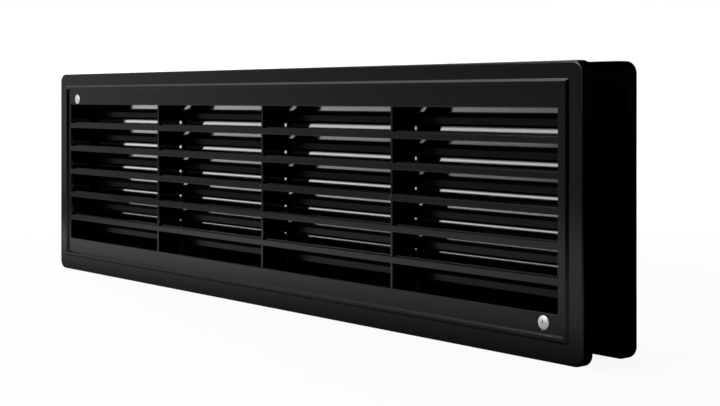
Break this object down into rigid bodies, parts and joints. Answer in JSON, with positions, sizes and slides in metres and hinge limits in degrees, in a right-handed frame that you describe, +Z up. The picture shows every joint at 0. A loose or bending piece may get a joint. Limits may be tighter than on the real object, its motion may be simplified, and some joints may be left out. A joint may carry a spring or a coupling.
{
  "type": "door vent grille",
  "caption": "Two-sided ventilation grille for a door leaf: twin flanged plates with bars, inclined blades and telescoping sleeves, held by cross-recess screws.",
  "frame": {"origin": "middle of the width and depth, at the lower edge of the two plates", "axes": "+X along the width to the right seen from the front, +Y through the door from the front plate to the rear one, +Z up"},
  "size_m": [0.453, 0.0392, 0.131],
  "materials": {
    "black_plastic": "satin injection-moulded ABS, dyed black, with a very fine texture",
    "zinc": "bright zinc plating on steel"
  },
  "bodies": {
    "front_half": {"front_grille": "black_plastic", "upper_left_screw": "zinc", "lower_right_screw": "zinc"},
    "rear_half": {"rear_grille": "black_plastic"}
  },
  "joints": [
    {"name": "door_thickness_slide", "type": "slide", "parent": "front_half", "child": "rear_half", "axis": [0, 1, 0], "range_m": [0, 0.007]}
  ]
}
